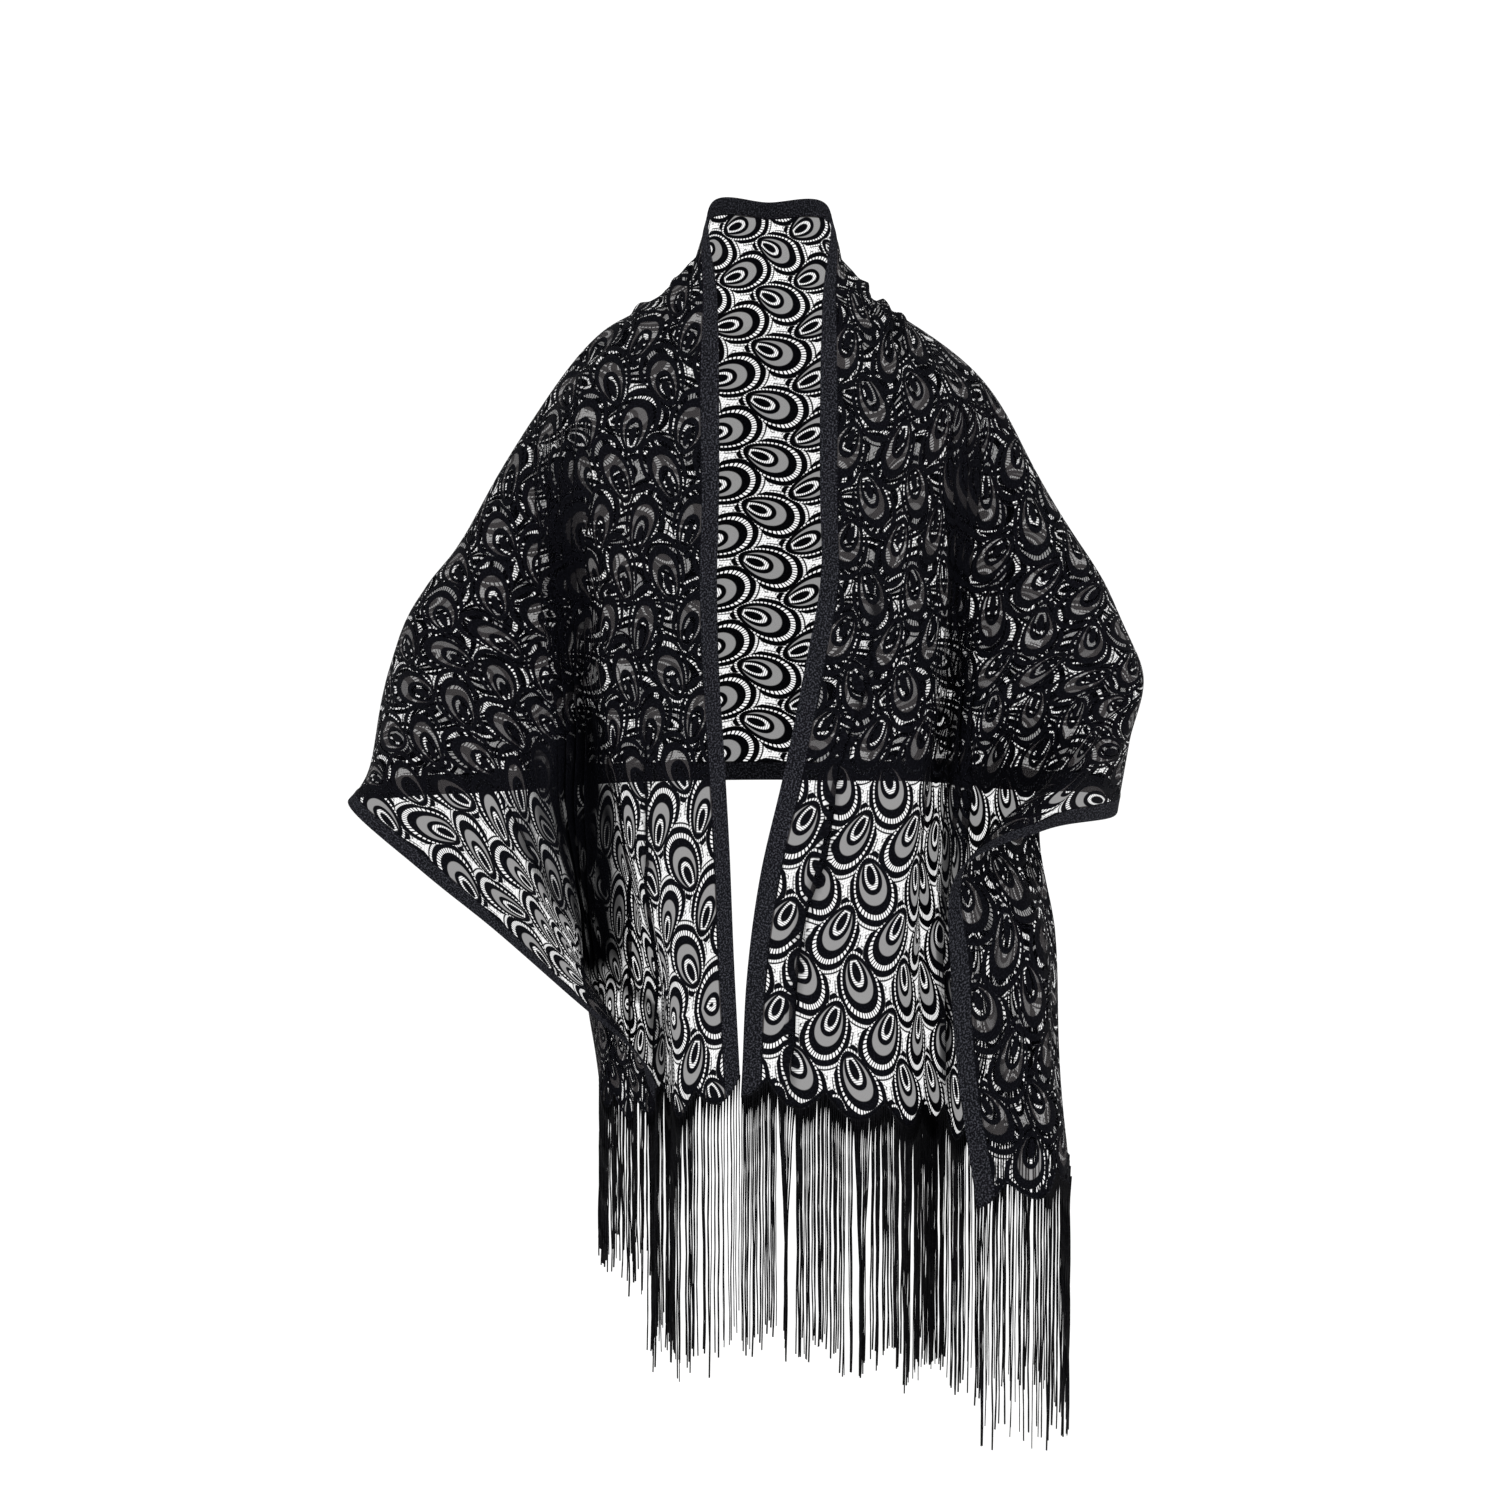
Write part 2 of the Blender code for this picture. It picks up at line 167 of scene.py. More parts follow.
# pleats: path on the cloth as (along, across) in mm, spacing, how many side by side, overlap and lift in mm,
# and how many repeats of the lace they take up
pleatTable = (
    (((486, 60), (582, 60), (654, 48), (738, 56), (798, 48), (894, 46), (990, 46)), 17, 1, 7.5, 2.2, 0),
    (((-582, 84), (-654, 96), (-738, 108), (-822, 150), (-906, 178), (-990, 190)), 14, 1, 5.5, 1.8, 0),
    (((-640, 126), (-700, 160), (-786, 214), (-870, 236), (-990, 250)), 14, 1, 5.5, 1.8, 0),
    (((-318, 170), (-390, 186), (-462, 232), (-558, 272), (-630, 290), (-702, 304), (-790, 344), (-990, 356)),
     21, 4, 14.0, 2.8, 3),
    (((306, 170), (402, 180), (486, 212), (558, 266), (654, 292), (760, 276)), 20, 3, 13.5, 2.8, 2),
    (((-560, 436), (-690, 436), (-780, 412), (-900, 404)), 16, 1, 6.5, 2.2, 0),
    (((700, 284), (822, 252), (990, 246)), 18, 1, 8.0, 2.6, 0),
    (((640, 404), (760, 396), (990, 400)), 17, 1, 7.0, 2.2, 0),
    (((700, 500), (820, 492), (990, 496)), 16, 1, 6.0, 2.0, 0),
    (((-700, 500), (-840, 486), (-990, 480)), 17, 1, 6.5, 2.2, 0),
)

# strips of painted fold shade, where the lace's holes close so that folds, tucks and steep walls turn as dark as their
# shade, partly where the lace really bunches in its pleats: path as above, half width in mm, share closed,
# where more than 1 closes the whole strip in spite of its ragged edge
foldShadeTable = (
    (((-318, 172), (-390, 188), (-462, 232), (-558, 272), (-630, 290), (-702, 304), (-790, 344), (-990, 356)),
     46, 0.85),
    (((306, 172), (402, 182), (486, 214), (558, 268), (654, 294), (760, 276)), 30, 0.75),
    (((640, 292), (822, 252), (990, 246)), 13, 0.96),
    # a wide strip of painted shade, closed right across
    (((-540, 286), (-630, 300), (-702, 308), (-790, 322), (-880, 340)), 108, 1.16),
    (((440, 64), (486, 60), (582, 60), (654, 48), (738, 56), (798, 48), (894, 46), (990, 46)), 8, 0.97),
    (((-560, 84), (-654, 96), (-738, 108), (-822, 150), (-906, 178), (-990, 190)), 7, 0.96),
    (((-640, 126), (-700, 160), (-786, 214), (-870, 236), (-990, 250)), 6, 0.8),
    (((-590, 416), (-650, 430), (-700, 430), (-780, 372), (-858, 282), (-894, 172), (-990, 166)), 30, 0.85),
    # a painted shade line where no pleat lies
    (((640, 560), (990, 556)), 4, 0.8),
    (((640, 404), (760, 396), (990, 400)), 5, 0.7),
    (((-700, 500), (-840, 486), (-990, 480)), 5, 0.7),
    (((160, 40), (200, 84), (236, 150), (300, 176)), 9, 0.5),
    (((-160, 40), (-200, 84), (-236, 150), (-300, 176)), 9, 0.5),
)

rowPlaces = np.array([row[0] for row in sectionTable]) / 1000
columnPlaces = np.array(columnTable) / 1000
sectionPoints = np.array([row[1:] for row in sectionTable]) / 1000


def slopeRows(knots):  # how each knot's slope follows from its neighbours
    rows = np.zeros((len(knots), len(knots)))
    for i in range(len(knots)):
        lo = max(i - 1, 0)
        hi = min(i + 1, len(knots) - 1)
        if lo == i or hi == i:
            rows[i, lo] -= 1 / (knots[hi] - knots[lo])
            rows[i, hi] += 1 / (knots[hi] - knots[lo])
            continue
        before = knots[i] - knots[lo]
        after = knots[hi] - knots[i]
        share = after / (before + after)
        rows[i, lo] -= share / before
        rows[i, i] += share / before - (1 - share) / after
        rows[i, hi] += (1 - share) / after
    return rows


def curveWeights(knots, at):  # a smooth curve through the knots
    k = np.clip(np.searchsorted(knots, at, side="right") - 1, 0, len(knots) - 2)
    step = knots[k + 1] - knots[k]
    t = (at - knots[k]) / step
    weights = np.zeros((len(at), len(knots)))
    here = np.arange(len(at))
    weights[here, k] = 2 * t**3 - 3 * t**2 + 1
    weights[here, k + 1] = 3 * t**2 - 2 * t**3
    slopes = slopeRows(knots)
    weights += ((t**3 - 2 * t**2 + t) * step)[:, None] * slopes[k]
    weights += ((t**3 - t**2) * step)[:, None] * slopes[k + 1]
    return weights


def sheetPoints(u, v):  # the smooth sheet through the sections, before folds
    rows = curveWeights(rowPlaces, u) @ sectionPoints.reshape(len(rowPlaces), -1)
    rows = rows.reshape(len(u), len(columnPlaces), 3)
    return np.einsum("njk,nj->nk", rows, curveWeights(columnPlaces, v))


def unit(vectors):
    return vectors / np.linalg.norm(vectors, axis=1)[:, None]


def easedIn(share):
    return share * share * (3 - 2 * share)


def creaseHeights(u, v, table):
    total = np.zeros(len(u))
    for u0, v0, u1, v1, half, depth in table:
        run = np.array((u1 - u0, v1 - v0)) / 1000
        length = np.linalg.norm(run)
        du = u - u0 / 1000
        dv = v - v0 / 1000
        t = (du * run[0] + dv * run[1]) / length**2
        side = np.abs(run[0] * dv - run[1] * du) / length
        ends = np.clip(np.minimum(4 * t, 4 * (1 - t)), 0, 1)
        near = np.clip(side / (half / 1000), 0, 1)
        total += depth / 1000 * easedIn(ends) * 0.5 * (1 + np.cos(math.pi * near))
    return total


def besidePath(u, v, path, reach):  # from -1 at one side of a strip to 1 at the other, and where it starts and stops
    path = np.array(sorted(path)) / 1000
    return np.clip((v - np.interp(u, path[:, 0], path[:, 1])) / reach, -1, 1), path[0, 0], path[-1, 0]


def pleated(u, v):  # moves each place into its pleat, and says how far it stands out
    newV = v.copy()
    rise = np.zeros(len(u))
    for path, spacing, number, overlap, lift, repeats in pleatTable:
        side, first, last = besidePath(u, v, path, spacing * number / 2000)
        ends = np.clip(np.minimum(u - first, last - u) / 0.07, 0, 1)
        ends = easedIn(ends) * (0.85 + 0.15 * np.sin(u * 31 + spacing))
        soft = 1 - np.abs(side) ** 6
        wave = np.sin(math.pi * side * number) * ends * soft
        newV -= overlap / 1000 * wave
        rise -= lift / 1000 * wave
    return newV, rise


def knittedPlaces(u, v, faces):  # where each face corner lies in the lace, with what the pleats take up
    corners = np.array(faces)
    cornerU = u[corners]
    cornerV = v[corners].copy()
    middle = cornerU.mean(axis=1)
    for path, spacing, number, overlap, lift, repeats in pleatTable:
        if not repeats:
            continue
        side, first, last = besidePath(u, v, path, spacing * number / 2000)
        share = (0.5 + 0.5 * side)[corners]
        inside = (middle > first) & (middle < last) & (share.min(axis=1) < 1)
        cornerV += np.where(inside[:, None], share * repeats * laceRepeat["width"] / 1000, 0)
    return np.stack((cornerU, cornerV), axis=2).reshape(-1, 2)


def foldShadeShares(u, v):  # how far the lace's holes are closed at each place, as painted fold shade
    total = np.zeros(len(u))
    for path, half, share in foldShadeTable:
        side, first, last = besidePath(u, v, path, half / 1000)
        ends = np.clip(np.minimum(u - first, last - u) / 0.05, 0, 1)
        ragged = 0.88 + 0.12 * np.sin(u * 67 + half) * np.sin(v * 151)
        total = np.maximum(total, share * ends * ragged * (1 - side**4))
    return np.minimum(total, 1)


def clothPoints(u, placeV):  # the sheet with its pleats, folds and creases
    v, extra = pleated(u, placeV)
    h = 0.002
    along = sheetPoints(u + h, v) - sheetPoints(u - h, v)
    across = sheetPoints(u, v + h) - sheetPoints(u, v - h)
    out = unit(np.cross(along, across))
    rise = creaseHeights(u, v, foldTable) + creaseHeights(u, v, creaseTable) + extra
    return sheetPoints(u, v) + out * rise[:, None]


def clothFrames(u, v):  # directions along, across and out of the cloth
    h = 0.003
    along = clothPoints(u + h, v) - clothPoints(u - h, v)
    across = clothPoints(u, v + h) - clothPoints(u, v - h)
    return unit(along), unit(across), unit(np.cross(along, across))


def scalloped(u, v):  # moves the last rows of an end out to its scallops
    near = np.clip((np.abs(u) - (shawl["halfLength"] - shawl["scallopReach"])) / shawl["scallopReach"], 0, 1)
    shift = np.where(u > 0, shawl["scallopShift"][1], shawl["scallopShift"][-1])
    swell = np.abs(np.sin(math.pi * (v - shift) / shawl["scallopPitch"]))
    return u + np.sign(u) * near * shawl["scallopDepth"] * swell


def pointsPastEnd(u, v):  # carries the cloth on straight beyond its last section
    edge = shawl["halfLength"] - 0.004
    inside = np.clip(u, -edge, edge)
    along, across, out = clothFrames(inside, v)
    return clothPoints(inside, v) + along * (u - inside)[:, None], out


def makePiece(name, verts, faces, material, uvs=None):
    mesh = bpy.data.meshes.new(name)
    mesh.from_pydata([tuple(p) for p in verts], [], faces)
    if uvs is not None:
        layer = mesh.uv_layers.new(name="cloth")
        loops = np.empty(len(mesh.loops), dtype=np.int32)
        mesh.loops.foreach_get("vertex_index", loops)
        layer.data.foreach_set("uv", np.asarray(uvs, dtype=np.float32)[loops].ravel())
    mesh.polygons.foreach_set("use_smooth", [True] * len(mesh.polygons))
    mesh.materials.append(material)
    mesh.update()
    piece = bpy.data.objects.new(name, mesh)
    bpy.context.scene.collection.objects.link(piece)
    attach(piece, "root")
    return piece


# shader helpers
def calc(tree, operation, *values):
    node = tree.nodes.new("ShaderNodeMath")
    node.operation = operation
    for socket, value in zip(node.inputs, values):
        if isinstance(value, (int, float)):
            socket.default_value = value
        else:
            tree.links.new(value, socket)
    return node.outputs[0]


def ramp(tree, value, low, high, first=0.0, last=1.0):  # soft step between two values
    node = tree.nodes.new("ShaderNodeMapRange")
    node.interpolation_type = "SMOOTHSTEP"
    for key, item in (("Value", value), ("From Min", low), ("From Max", high), ("To Min", first), ("To Max", last)):
        if isinstance(item, (int, float)):
            node.inputs[key].default_value = item
        else:
            tree.links.new(item, node.inputs[key])
    return node.outputs[0]


def blendColors(tree, share, first, second):
    node = tree.nodes.new("ShaderNodeMix")
    node.data_type = "RGBA"
    for socket, item in ((node.inputs[0], share), (node.inputs[6], first), (node.inputs[7], second)):
        if isinstance(item, (int, float)):
            socket.default_value = item
        elif isinstance(item, tuple):
            socket.default_value = (*item, 1.0)
        else:
            tree.links.new(item, socket)
    return node.outputs[2]


def newGroup(name, inputs, outputs):
    group = bpy.data.node_groups.new(name, "ShaderNodeTree")
    for label, kind, value in inputs:
        socket = group.interface.new_socket(name=label, in_out="INPUT", socket_type=kind)
        if value is not None:
            socket.default_value = value
    for label, kind in outputs:
        group.interface.new_socket(name=label, in_out="OUTPUT", socket_type=kind)
    return group, group.nodes.new("NodeGroupInput"), group.nodes.new("NodeGroupOutput")


# the lace repeat, in mm: two tilted eyes, each with an eyelet row round it and a sheer crescent and a loop within
laceRepeat = {
    "length": 94.5,
    "width": 54.5,
    "firstEye": (55.25, 27.0),
    "secondEye": (8.0, 54.25),
    "tilt": 20.0,
    "eyeHalf": (31.0, 16.8),
    "taper": 0.22,
    "turnAt": 893.0,  # where the eyes turn round near the viewer's left end
    "eyelets": 44,
    "lineEyelets": 70,
    "lineOut": 5.6,  # the outer line of fine eyelets
    "netOut": 7.0,  # the open net between the eyes
    "netStep": (2.9, 2.5),
    "sheer": (-3.0, 22.0, 11.8),  # middle along, half length, half width
    "core": (-9.0, 17.5, 8.8),
    "loop": (-11.5, 12.5, 4.6),
    "innerTaper": 0.2,
    "rim": 6.0,  # solid cloth along the scallops
}


def eggDistance(tree, along, side, centre, halfLong, halfWide, taper):  # 1 on the egg, less inside it
    x = calc(tree, "DIVIDE", calc(tree, "SUBTRACT", along, centre), halfLong)
    wide = calc(tree, "MULTIPLY", calc(tree, "ADD", calc(tree, "MULTIPLY", x, taper), 1.0), halfWide)
    y = calc(tree, "DIVIDE", side, wide)
    total = calc(tree, "ADD", calc(tree, "MULTIPLY", x, x), calc(tree, "MULTIPLY", y, y))
    return calc(tree, "SQRT", total)


def laceGroup():
    inputs = (("Place", "NodeSocketVector", None), ("Sheer", "NodeSocketFloat", 0.32))
    outputs = (("Cover", "NodeSocketFloat"), ("Height", "NodeSocketFloat"), ("Sheer Area", "NodeSocketFloat"))
    tree, start, end = newGroup("laceStitches", inputs, outputs)
    r = laceRepeat
    pitch, wide = r["length"], r["width"]
    ca, sa = math.cos(math.radians(r["tilt"])), math.sin(math.radians(r["tilt"]))
    split = tree.nodes.new("ShaderNodeSeparateXYZ")
    tree.links.new(start.outputs["Place"], split.inputs[0])
    u = calc(tree, "MULTIPLY", split.outputs[0], 1000.0)
    v = calc(tree, "MULTIPLY", split.outputs[1], 1000.0)
    turned = calc(tree, "MAXIMUM", u, calc(tree, "SUBTRACT", -2 * r["turnAt"], u))

    eyes = []
    for eye, lean in ((r["firstEye"], -1.0), (r["secondEye"], 1.0)):
        x = calc(tree, "WRAP", calc(tree, "SUBTRACT", turned, eye[0]), pitch / 2, -pitch / 2)
        y = calc(tree, "WRAP", calc(tree, "SUBTRACT", v, eye[1]), wide / 2, -wide / 2)
        along = calc(tree, "ADD", calc(tree, "MULTIPLY", x, ca), calc(tree, "MULTIPLY", y, sa * lean))
        side = calc(tree, "SUBTRACT", calc(tree, "MULTIPLY", y, ca), calc(tree, "MULTIPLY", x, sa * lean))
        away = eggDistance(tree, along, side, 0.0, r["eyeHalf"][0], r["eyeHalf"][1], r["taper"])
        rank = calc(tree, "SUBTRACT", away, calc(tree, "MULTIPLY", along, 0.16 / 30))
        eyes.append((along, side, away, rank))
    first = calc(tree, "LESS_THAN", eyes[0][3], eyes[1][3])

    def chosen(k):
        node = tree.nodes.new("ShaderNodeMix")
        tree.links.new(first, node.inputs[0])
        tree.links.new(eyes[1][k], node.inputs[2])
        tree.links.new(eyes[0][k], node.inputs[3])
        return node.outputs[0]

    along, side, away = chosen(0), chosen(1), chosen(2)
    row = calc(tree, "MULTIPLY", calc(tree, "SUBTRACT", away, 1.0), r["eyeHalf"][1])  # mm out from the eyelet row
    turn = calc(tree, "ARCTAN2", calc(tree, "DIVIDE", side, r["eyeHalf"][1]),
                calc(tree, "DIVIDE", along, r["eyeHalf"][0]))
    beat = calc(tree, "PINGPONG", calc(tree, "MULTIPLY", turn, r["eyelets"] / math.pi), 1.0)
    tip = ramp(tree, along, 6.0, 22.5)
    reach = calc(tree, "ADD", calc(tree, "MULTIPLY", tip, 0.6), 0.55)
    off = calc(tree, "ABSOLUTE", row)
    holes = calc(tree, "MULTIPLY", ramp(tree, beat, 0.50, 0.74, 1.0, 0.0),
                 ramp(tree, calc(tree, "SUBTRACT", off, reach), 0.0, 0.35, 1.0, 0.0))
    lineBeat = calc(tree, "PINGPONG", calc(tree, "MULTIPLY", turn, r["lineEyelets"] / math.pi), 1.0)
    line = ramp(tree, calc(tree, "ABSOLUTE", calc(tree, "SUBTRACT", row, r["lineOut"])), 0.45, 0.95, 1.0, 0.0)
    line = calc(tree, "MULTIPLY", line, ramp(tree, lineBeat, 0.50, 0.75, 1.0, 0.35))

    def net(x, y, stepX, stepY):  # a net of small holes
        a = calc(tree, "ABSOLUTE", calc(tree, "DIVIDE", calc(tree, "WRAP", x, stepX / 2, -stepX / 2), stepX / 2))
        b = calc(tree, "ABSOLUTE", calc(tree, "DIVIDE", calc(tree, "WRAP", y, stepY / 2, -stepY / 2), stepY / 2))
        return ramp(tree, calc(tree, "SMOOTH_MAX", a, b, 0.5), 0.84, 1.04, 1.0, 0.0)

    slanted = calc(tree, "ADD", u, calc(tree, "MULTIPLY", v, 0.5))
    star = calc(tree, "MULTIPLY", ramp(tree, row, r["netOut"], r["netOut"] + 0.5), net(slanted, v, *r["netStep"]))
    sheerOuter = eggDistance(tree, along, side, *r["sheer"], r["innerTaper"])
    core = eggDistance(tree, along, side, *r["core"], r["innerTaper"])
    loop = eggDistance(tree, along, side, *r["loop"], r["innerTaper"])
    sheerArea = calc(tree, "MULTIPLY", ramp(tree, sheerOuter, 0.97, 1.03, 1.0, 0.0), ramp(tree, core, 0.97, 1.03))
    loopOff = calc(tree, "ABSOLUTE", calc(tree, "MULTIPLY", calc(tree, "SUBTRACT", loop, 1.0), r["loop"][2]))
    ring = calc(tree, "MULTIPLY", ramp(tree, loopOff, 0.60, 1.1, 1.0, 0.0), ramp(tree, along, -24.0, -22.0))
    loopBeat = calc(tree, "PINGPONG", calc(tree, "DIVIDE", along, 1.1), 1.0)
    ring = calc(tree, "MULTIPLY", ring, ramp(tree, loopBeat, 0.55, 0.78, 1.0, 0.15))

    gap = calc(tree, "MAXIMUM", holes, line)
    gap = calc(tree, "MAXIMUM", gap, star)
    gap = calc(tree, "MAXIMUM", gap, calc(tree, "MULTIPLY", sheerArea, start.outputs["Sheer"]))
    gap = calc(tree, "MAXIMUM", gap, ring)

    # no holes in the solid rim along the scallops, or next to the edge bands
    half = shawl["halfLength"] * 1000
    waves = math.pi / (shawl["scallopPitch"] * 1000)
    depth = shawl["scallopDepth"] * 1000
    rims = []
    for sign in (-1, 1):
        shifted = calc(tree, "SUBTRACT", v, shawl["scallopShift"][sign] * 1000)
        swell = calc(tree, "ABSOLUTE", calc(tree, "SINE", calc(tree, "MULTIPLY", shifted, waves)))
        edge = calc(tree, "ADD", calc(tree, "MULTIPLY", swell, depth), half)
        rims.append(calc(tree, "SUBTRACT", edge, calc(tree, "MULTIPLY", u, float(sign))))
    rim = calc(tree, "MINIMUM", rims[0], rims[1])
    band, hem = shawl["band"] * 1000, (shawl["width"] - shawl["band"]) * 1000
    nearBand = calc(tree, "MINIMUM", calc(tree, "SUBTRACT", v, band), calc(tree, "SUBTRACT", hem, v))
    inner = calc(tree, "MULTIPLY", ramp(tree, rim, r["rim"], r["rim"] + 1.0), ramp(tree, nearBand, 1.0, 1.6))
    gap = calc(tree, "MULTIPLY", gap, inner)
    tree.links.new(calc(tree, "SUBTRACT", 1.0, gap), end.inputs["Cover"])
    tree.links.new(sheerArea, end.inputs["Sheer Area"])
    cords = calc(tree, "SINE", calc(tree, "MULTIPLY", row, 1.9))
    height = calc(tree, "ADD", calc(tree, "MULTIPLY", cords, 0.3), calc(tree, "MULTIPLY", sheerArea, -0.6))
    tree.links.new(calc(tree, "ADD", height, calc(tree, "MULTIPLY", gap, -0.8)), end.inputs["Height"])
    return tree


def knitGroup():  # fine knitted ribs with a slight speckle
    inputs = (("Place", "NodeSocketVector", None), ("Rib", "NodeSocketFloat", 1.4), ("Speckle", "NodeSocketFloat", 0.5))
    outputs = (("Tone", "NodeSocketFloat"), ("Height", "NodeSocketFloat"))
    tree, start, end = newGroup("fineKnit", inputs, outputs)
    split = tree.nodes.new("ShaderNodeSeparateXYZ")
    tree.links.new(start.outputs["Place"], split.inputs[0])
    u = calc(tree, "MULTIPLY", split.outputs[0], 1000.0)
    v = calc(tree, "MULTIPLY", split.outputs[1], 1000.0)
    noise = tree.nodes.new("ShaderNodeTexNoise")
    noise.inputs["Scale"].default_value = 560.0
    noise.inputs["Detail"].default_value = 3.0
    tree.links.new(start.outputs["Place"], noise.inputs["Vector"])
    wobble = calc(tree, "MULTIPLY", noise.outputs[0], 1.5)
    wale = calc(tree, "PINGPONG", calc(tree, "DIVIDE", v, start.outputs["Rib"]), 0.5)
    leaning = calc(tree, "ADD", u, calc(tree, "MULTIPLY", wale, 1.6))
    course = calc(tree, "PINGPONG", calc(tree, "DIVIDE", leaning, 0.9), 0.5)
    height = calc(tree, "ADD", calc(tree, "MULTIPLY", wale, 1.2), calc(tree, "MULTIPLY", course, 0.7))
    height = calc(tree, "ADD", height, calc(tree, "MULTIPLY", wobble, 0.25))
    broad = tree.nodes.new("ShaderNodeTexNoise")
    broad.inputs["Scale"].default_value = 45.0
    tree.links.new(start.outputs["Place"], broad.inputs["Vector"])
    speck = ramp(tree, noise.outputs[0], 0.46, 0.66)
    tone = calc(tree, "ADD", calc(tree, "MULTIPLY", speck, start.outputs["Speckle"]),
                calc(tree, "MULTIPLY", broad.outputs[0], 0.15))
    tree.links.new(tone, end.inputs["Tone"])
    tree.links.new(height, end.inputs["Height"])
    return tree


laceTree = laceGroup()
knitTree = knitGroup()

# colours of the cloth, from its low places to its high ones
tones = {
    "lace": ((0.0010, 0.0010, 0.0018), (0.0085, 0.0090, 0.0125)),
    "sheer": (0.040, 0.037, 0.038),
    "band": ((0.0008, 0.0009, 0.0016), (0.040, 0.041, 0.050)),
    "fringe": ((0.0016, 0.0016, 0.0022), (0.011, 0.011, 0.013)),
}


def newMaterial(name):
    material = bpy.data.materials.new(name)
    material.use_nodes = True
    tree = material.node_tree
    shader = tree.nodes["Principled BSDF"]
    place = tree.nodes.new("ShaderNodeUVMap")
    place.uv_map = "cloth"
    return material, tree, shader, place.outputs[0]


def useGroup(tree, group, place, **values):
    node = tree.nodes.new("ShaderNodeGroup")
    node.node_tree = group
    tree.links.new(place, node.inputs["Place"])
    for key, value in values.items():
        node.inputs[key].default_value = value
    return node


def setSurface(shader, roughness, specular):
    shader.inputs["Roughness"].default_value = roughness
    shader.inputs["Specular IOR Level"].default_value = specular


def addBump(tree, shader, height, distance, strength):
    bump = tree.nodes.new("ShaderNodeBump")
    bump.inputs["Distance"].default_value = distance
    bump.inputs["Strength"].default_value = strength
    tree.links.new(height, bump.inputs["Height"])
    tree.links.new(bump.outputs[0], shader.inputs["Normal"])


def laceMaterial():
    material, tree, shader, place = newMaterial("laceKnit")
    lace = useGroup(tree, laceTree, place, Sheer=0.26)
    knit = useGroup(tree, knitTree, place, Rib=0.8, Speckle=0.45)
    dark = blendColors(tree, knit.outputs["Tone"], *tones["lace"])
    # painted fold shade: the second UV map closes the holes and drops the sheer tone in the fold strips, so the lace
    # turns solid dark there
    foldShade = tree.nodes.new("ShaderNodeUVMap")
    foldShade.uv_map = "foldShade"
    split = tree.nodes.new("ShaderNodeSeparateXYZ")
    tree.links.new(foldShade.outputs[0], split.inputs[0])
    outsideFoldShade = calc(tree, "SUBTRACT", 1.0, split.outputs[0])
    color = blendColors(tree, calc(tree, "MULTIPLY", lace.outputs["Sheer Area"], outsideFoldShade), dark, tones["sheer"])
    tree.links.new(color, shader.inputs["Base Color"])
    gap = calc(tree, "MULTIPLY", calc(tree, "SUBTRACT", 1.0, lace.outputs["Cover"]), outsideFoldShade)
    tree.links.new(calc(tree, "SUBTRACT", 1.0, gap), shader.inputs["Alpha"])
    setSurface(shader, 0.7, 0.02)
    height = calc(tree, "ADD", lace.outputs["Height"], calc(tree, "MULTIPLY", knit.outputs["Height"], 0.35))
    addBump(tree, shader, height, 0.0006, 0.8)
    return material


def bandMaterial():
    material, tree, shader, place = newMaterial("bandKnit")
    knit = useGroup(tree, knitTree, place, Rib=1.2, Speckle=1.0)
    tree.links.new(blendColors(tree, knit.outputs["Tone"], *tones["band"]), shader.inputs["Base Color"])
    setSurface(shader, 0.78, 0.02)
    addBump(tree, shader, knit.outputs["Height"], 0.0005, 0.9)
    return material


def yarnMaterial():
    material, tree, shader, place = newMaterial("fringeYarn")
    knit = useGroup(tree, knitTree, place, Rib=0.6, Speckle=0.5)
    tree.links.new(blendColors(tree, knit.outputs["Tone"], *tones["fringe"]), shader.inputs["Base Color"])
    setSurface(shader, 0.6, 0.05)
    addBump(tree, shader, knit.outputs["Height"], 0.0003, 0.6)
    return material


laceMat = laceMaterial()
bandMat = bandMaterial()
yarnMat = yarnMaterial()
print("lace shawl: materials made")


def gridFaces(n, m):
    firsts = [i * m + j for i in range(n - 1) for j in range(m - 1)]
    return [(a, a + m, a + m + 1, a + 1) for a in firsts]


def alongPlaces():
    half = shawl["halfLength"]
    return np.linspace(-half, half, int(2 * half / shawl["meshStep"]) + 1)


# rows of the cloth's mesh, closer where the pleats lie
rowSteps = {"pleatsFrom": 0.125, "pleatsTo": 0.392, "before": 0.0026, "within": 0.0019, "after": 0.0042, "last": 0.003}


def acrossPlaces(low, high):
    first, last = rowSteps["pleatsFrom"], rowSteps["pleatsTo"]
    before = np.arange(low, first, rowSteps["before"])
    within = np.arange(first, last, rowSteps["within"])
    after = np.arange(last, high - rowSteps["last"], rowSteps["after"])
    return np.concatenate((before, within, after, (high,)))


def laceCloth():
    us = alongPlaces()
    under = 0.0008  # how far the lace reaches into the bands
    vs = acrossPlaces(shawl["band"] - under, shawl["width"] - shawl["band"] + under)
    u, v = (a.ravel() for a in np.meshgrid(us, vs, indexing="ij"))
    u = scalloped(u, v)
    points, out = pointsPastEnd(u, v)
    faces = gridFaces(len(us), len(vs))
    cloth = makePiece("laceCloth", points, faces, laceMat)
    layer = cloth.data.uv_layers.new(name="cloth")
    layer.data.foreach_set("uv", knittedPlaces(u, v, faces).astype(np.float32).ravel())
    # painted fold shade, carried per face corner in the second UV map
    foldShade = foldShadeShares(u, v)[np.array(faces)].ravel()
    second = cloth.data.uv_layers.new(name="foldShade")
    second.data.foreach_set("uv", np.stack((foldShade, foldShade), axis=1).astype(np.float32).ravel())
    return cloth


lace = laceCloth()
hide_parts("lace_left", "lace_back", "lace_right")
print("lace shawl: lace cloth", len(lace.data.polygons))

# an edge band and its section: share of the width, share of the thickness
edgeShape = {
    "thick": 0.0011,
    "profile": [(0.0, 0.3), (0.04, 0.5), (0.12, 0.62), (0.3, 0.5), (0.7, 0.5), (0.9, 0.6), (0.97, 0.5), (1.0, 0.25)],
}


